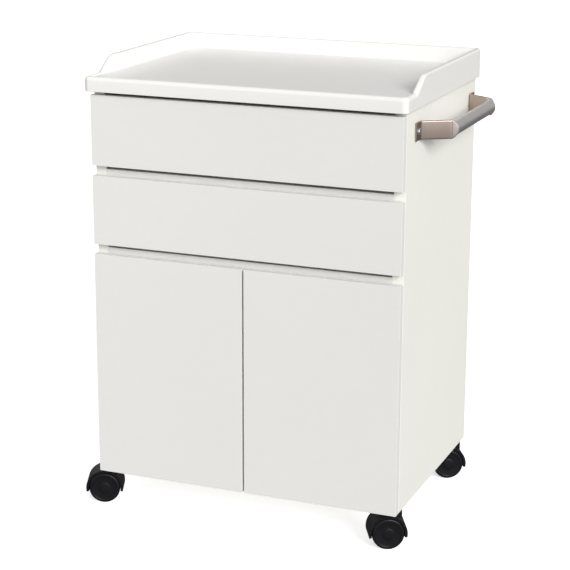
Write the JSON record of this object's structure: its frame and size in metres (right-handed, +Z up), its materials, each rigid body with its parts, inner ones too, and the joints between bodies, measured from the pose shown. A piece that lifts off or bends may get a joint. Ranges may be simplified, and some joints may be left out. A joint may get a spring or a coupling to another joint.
{
  "type": "bedside cabinet",
  "caption": "Bedside cabinet on swivelling twin-wheel casters: full-width drawers over a two-door cupboard, a moulded tray top with a low gallery and a tubular side handle.",
  "frame": {"origin": "on the floor, under the middle of the whole object, handle and casters included", "axes": "+Z up, +X towards the side with the handle, +Y towards the back, the fronts face -Y"},
  "size_m": [0.5928, 0.38, 0.719],
  "materials": {
    "white_board": "satin off-white laminate on board",
    "inner_board": "matt off-white laminate on board",
    "tray_plastic": "semi-gloss moulded ivory plastic",
    "satin_steel": "satin stainless steel, ground along its length",
    "zinc_plate": "bright zinc plating",
    "plain_steel": "turned steel, bright zinc plating",
    "black_nylon": "black moulded nylon with a fine texture",
    "natural_nylon": "natural white nylon",
    "soft_bumper": "grey translucent elastomer",
    "beech": "plain beech"
  },
  "bodies": {
    "cabinet": {"side_panel_left": "white_board", "side_panel_right": "white_board", "base_panel": "inner_board", "back_panel": "inner_board", "divider_panel": "white_board", "drawer_rail": "white_board", "top_rail_front": "inner_board", "top_rail_rear": "inner_board", "dowels": "beech", "drawer_runners": "natural_nylon", "hinge_arms_left": "zinc_plate", "hinge_arms_right": "zinc_plate", "door_catches": "natural_nylon", "shelf": "inner_board", "shelf_pins": "zinc_plate", "tray_top": "tray_plastic", "tray_screws": "zinc_plate", "handle": "satin_steel", "handle_screws": "zinc_plate", "caster_sockets": "zinc_plate", "caster_stems": "plain_steel"},
    "upper_drawer": {"upper_drawer_front": "white_board", "upper_drawer_inner_front": "inner_board", "upper_drawer_back": "inner_board", "upper_drawer_side_left": "inner_board", "upper_drawer_side_right": "inner_board", "upper_drawer_bottom": "inner_board", "upper_drawer_bumpers": "soft_bumper"},
    "lower_drawer": {"lower_drawer_front": "white_board", "lower_drawer_inner_front": "inner_board", "lower_drawer_back": "inner_board", "lower_drawer_side_left": "inner_board", "lower_drawer_side_right": "inner_board", "lower_drawer_bottom": "inner_board", "lower_drawer_bumpers": "soft_bumper"},
    "left_door": {"door_left": "white_board", "hinge_cups_left": "zinc_plate", "strike_left": "zinc_plate", "door_bumpers_left": "soft_bumper"},
    "right_door": {"door_right": "white_board", "hinge_cups_right": "zinc_plate", "strike_right": "zinc_plate", "door_bumpers_right": "soft_bumper"},
    "swivel_front_left": {"hood_front_left": "black_nylon", "axle_front_left": "plain_steel"},
    "wheel_front_left_a": {"wheel_front_left_a": "black_nylon"},
    "wheel_front_left_b": {"wheel_front_left_b": "black_nylon"},
    "swivel_front_right": {"hood_front_right": "black_nylon", "axle_front_right": "plain_steel"},
    "wheel_front_right_a": {"wheel_front_right_a": "black_nylon"},
    "wheel_front_right_b": {"wheel_front_right_b": "black_nylon"},
    "swivel_rear_left": {"hood_rear_left": "black_nylon", "axle_rear_left": "plain_steel"},
    "wheel_rear_left_a": {"wheel_rear_left_a": "black_nylon"},
    "wheel_rear_left_b": {"wheel_rear_left_b": "black_nylon"},
    "swivel_rear_right": {"hood_rear_right": "black_nylon", "axle_rear_right": "plain_steel"},
    "wheel_rear_right_a": {"wheel_rear_right_a": "black_nylon"},
    "wheel_rear_right_b": {"wheel_rear_right_b": "black_nylon"}
  },
  "joints": [
    {"name": "upper_drawer_slide", "type": "slide", "parent": "cabinet", "child": "upper_drawer", "axis": [0, -1, 0], "range_m": [0, 0.24]},
    {"name": "lower_drawer_slide", "type": "slide", "parent": "cabinet", "child": "lower_drawer", "axis": [0, -1, 0], "range_m": [0, 0.24]},
    {"name": "left_door_hinge", "type": "hinge", "parent": "cabinet", "child": "left_door", "pos_m": [-0.2564, -0.1695, 0.239], "axis": [0, 0, -1], "range_deg": [0, 110]},
    {"name": "right_door_hinge", "type": "hinge", "parent": "cabinet", "child": "right_door", "pos_m": [0.2436, -0.1695, 0.239], "axis": [0, 0, 1], "range_deg": [0, 110]},
    {"name": "swivel_front_left_turn", "type": "hinge", "parent": "cabinet", "child": "swivel_front_left", "pos_m": [-0.2474, -0.149, 0.054], "axis": [0, 0, 1], "continuous": true},
    {"name": "wheel_front_left_a_spin", "type": "hinge", "parent": "swivel_front_left", "child": "wheel_front_left_a", "pos_m": [-0.26131, -0.15462, 0.025], "axis": [0.3746, -0.9272, 0], "continuous": true},
    {"name": "wheel_front_left_b_spin", "type": "hinge", "parent": "swivel_front_left", "child": "wheel_front_left_b", "pos_m": [-0.26131, -0.15462, 0.025], "axis": [0.3746, -0.9272, 0], "continuous": true},
    {"name": "swivel_front_right_turn", "type": "hinge", "parent": "cabinet", "child": "swivel_front_right", "pos_m": [0.2346, -0.149, 0.054], "axis": [0, 0, 1], "continuous": true},
    {"name": "wheel_front_right_a_spin", "type": "hinge", "parent": "swivel_front_right", "child": "wheel_front_right_a", "pos_m": [0.22124, -0.15581, 0.025], "axis": [0.454, -0.891, 0], "continuous": true},
    {"name": "wheel_front_right_b_spin", "type": "hinge", "parent": "swivel_front_right", "child": "wheel_front_right_b", "pos_m": [0.22124, -0.15581, 0.025], "axis": [0.454, -0.891, 0], "continuous": true},
    {"name": "swivel_rear_left_turn", "type": "hinge", "parent": "cabinet", "child": "swivel_rear_left", "pos_m": [-0.2474, 0.163, 0.054], "axis": [0, 0, 1], "continuous": true},
    {"name": "wheel_rear_left_a_spin", "type": "hinge", "parent": "swivel_rear_left", "child": "wheel_rear_left_a", "pos_m": [-0.26182, 0.15887, 0.025], "axis": [0.2756, -0.9613, 0], "continuous": true},
    {"name": "wheel_rear_left_b_spin", "type": "hinge", "parent": "swivel_rear_left", "child": "wheel_rear_left_b", "pos_m": [-0.26182, 0.15887, 0.025], "axis": [0.2756, -0.9613, 0], "continuous": true},
    {"name": "swivel_rear_right_turn", "type": "hinge", "parent": "cabinet", "child": "swivel_rear_right", "pos_m": [0.2346, 0.163, 0.054], "axis": [0, 0, 1], "continuous": true},
    {"name": "wheel_rear_right_a_spin", "type": "hinge", "parent": "swivel_rear_right", "child": "wheel_rear_right_a", "pos_m": [0.22161, 0.1555, 0.025], "axis": [0.5, -0.866, 0], "continuous": true},
    {"name": "wheel_rear_right_b_spin", "type": "hinge", "parent": "swivel_rear_right", "child": "wheel_rear_right_b", "pos_m": [0.22161, 0.1555, 0.025], "axis": [0.5, -0.866, 0], "continuous": true}
  ]
}
